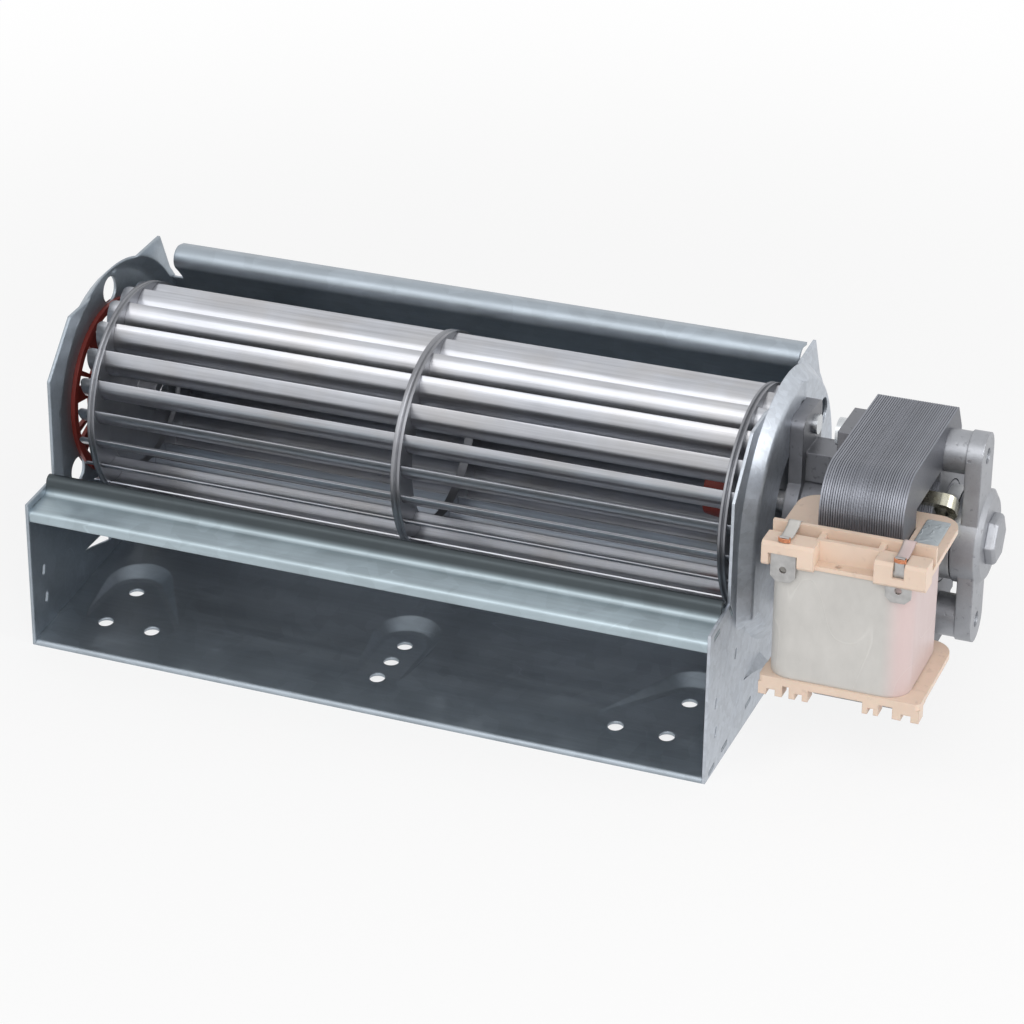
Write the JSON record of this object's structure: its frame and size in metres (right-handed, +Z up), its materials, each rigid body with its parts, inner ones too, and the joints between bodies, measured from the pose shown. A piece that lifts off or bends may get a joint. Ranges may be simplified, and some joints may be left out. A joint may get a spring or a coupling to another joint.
{
  "type": "cross flow fan",
  "caption": "Cross flow fan with a long bladed wheel in a folded sheet scroll, side plates and an open-frame shaded pole motor on one end.",
  "frame": {"origin": "on the standing surface, under the wheel's shaft, midway between the two side plates", "axes": "+X along the shaft towards the motor, the air outlet faces -Y, +Z up"},
  "size_m": [0.2558, 0.0996, 0.0885],
  "materials": {
    "galvanised": "zinc coated sheet, satin",
    "blade_sheet": "bright sheet",
    "silicone": "dark red silicone",
    "sintered": "oil-soaked sintered bronze",
    "shaft_steel": "ground steel",
    "laminations": "stacked sheets",
    "cage_metal": "cast",
    "shading_copper": "tinned copper wire",
    "die_cast": "raw die casting",
    "fastener_steel": "zinc plated",
    "bobbin_plastic": "moulded, light beige",
    "tape_film": "insulating tape",
    "winding_wire": "enamelled copper wire",
    "terminal_tin": "tinned"
  },
  "bodies": {
    "housing": {"scroll_housing": "galvanised", "vortex_tongue": "galvanised", "left_side_plate": "galvanised", "right_side_plate": "galvanised", "left_bearing_mount": "silicone", "left_bearing_bush": "sintered", "stator_yoke": "laminations", "stator_poles": "laminations", "shading_rings": "shading_copper", "inner_motor_bracket": "die_cast", "outer_motor_bracket": "die_cast", "inner_bearing_bush": "sintered", "outer_bearing_bush": "sintered", "clamp_screws": "fastener_steel", "bracket_rivets": "fastener_steel", "coil_bobbin": "bobbin_plastic", "coil_winding": "winding_wire", "coil_tape": "tape_film", "terminal_left": "terminal_tin", "terminal_right": "terminal_tin"},
    "impeller": {"left_end_disc": "blade_sheet", "mid_ring": "blade_sheet", "right_end_disc": "blade_sheet", "stub_shaft": "shaft_steel", "silicone_coupling": "silicone", "motor_shaft": "shaft_steel", "rotor_core": "laminations", "rotor_cage": "cage_metal", "blade_01": "blade_sheet", "blade_02": "blade_sheet", "blade_03": "blade_sheet", "blade_04": "blade_sheet", "blade_05": "blade_sheet", "blade_06": "blade_sheet", "blade_07": "blade_sheet", "blade_08": "blade_sheet", "blade_09": "blade_sheet", "blade_10": "blade_sheet", "blade_11": "blade_sheet", "blade_12": "blade_sheet", "blade_13": "blade_sheet", "blade_14": "blade_sheet", "blade_15": "blade_sheet", "blade_16": "blade_sheet", "blade_17": "blade_sheet", "blade_18": "blade_sheet", "blade_19": "blade_sheet", "blade_20": "blade_sheet", "blade_21": "blade_sheet", "blade_22": "blade_sheet"}
  },
  "joints": [
    {"name": "impeller_spin", "type": "hinge", "parent": "housing", "child": "impeller", "pos_m": [0, 0, 0.0525], "axis": [1, 0, 0], "continuous": true}
  ]
}
